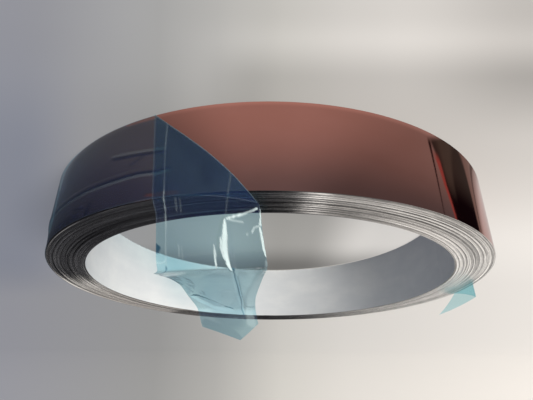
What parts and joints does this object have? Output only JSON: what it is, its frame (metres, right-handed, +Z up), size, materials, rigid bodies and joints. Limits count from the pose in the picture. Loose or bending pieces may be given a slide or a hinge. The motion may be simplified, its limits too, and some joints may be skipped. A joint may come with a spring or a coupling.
{
  "type": "roll of aluminium strip",
  "caption": "Flat aluminium strip wound into a wide ring-shaped roll with an open bore, its protective film partly peeled and standing over the bore.",
  "frame": {"origin": "centre of the bore at the level of the lower end, which is what the roll lies on", "axes": "+Z up along the bore axis; -Y towards the side on which the film is folded up; +X to its right"},
  "size_m": [0.4537, 0.4497, 0.1209],
  "materials": {
    "aluminium_strip": "bright coated face, bare slit edges",
    "protective_film": "clear blue film, glossy and creased"
  },
  "bodies": {
    "root": {"strip_coil": "aluminium_strip", "protective_film": "protective_film"}
  },
  "joints": []
}
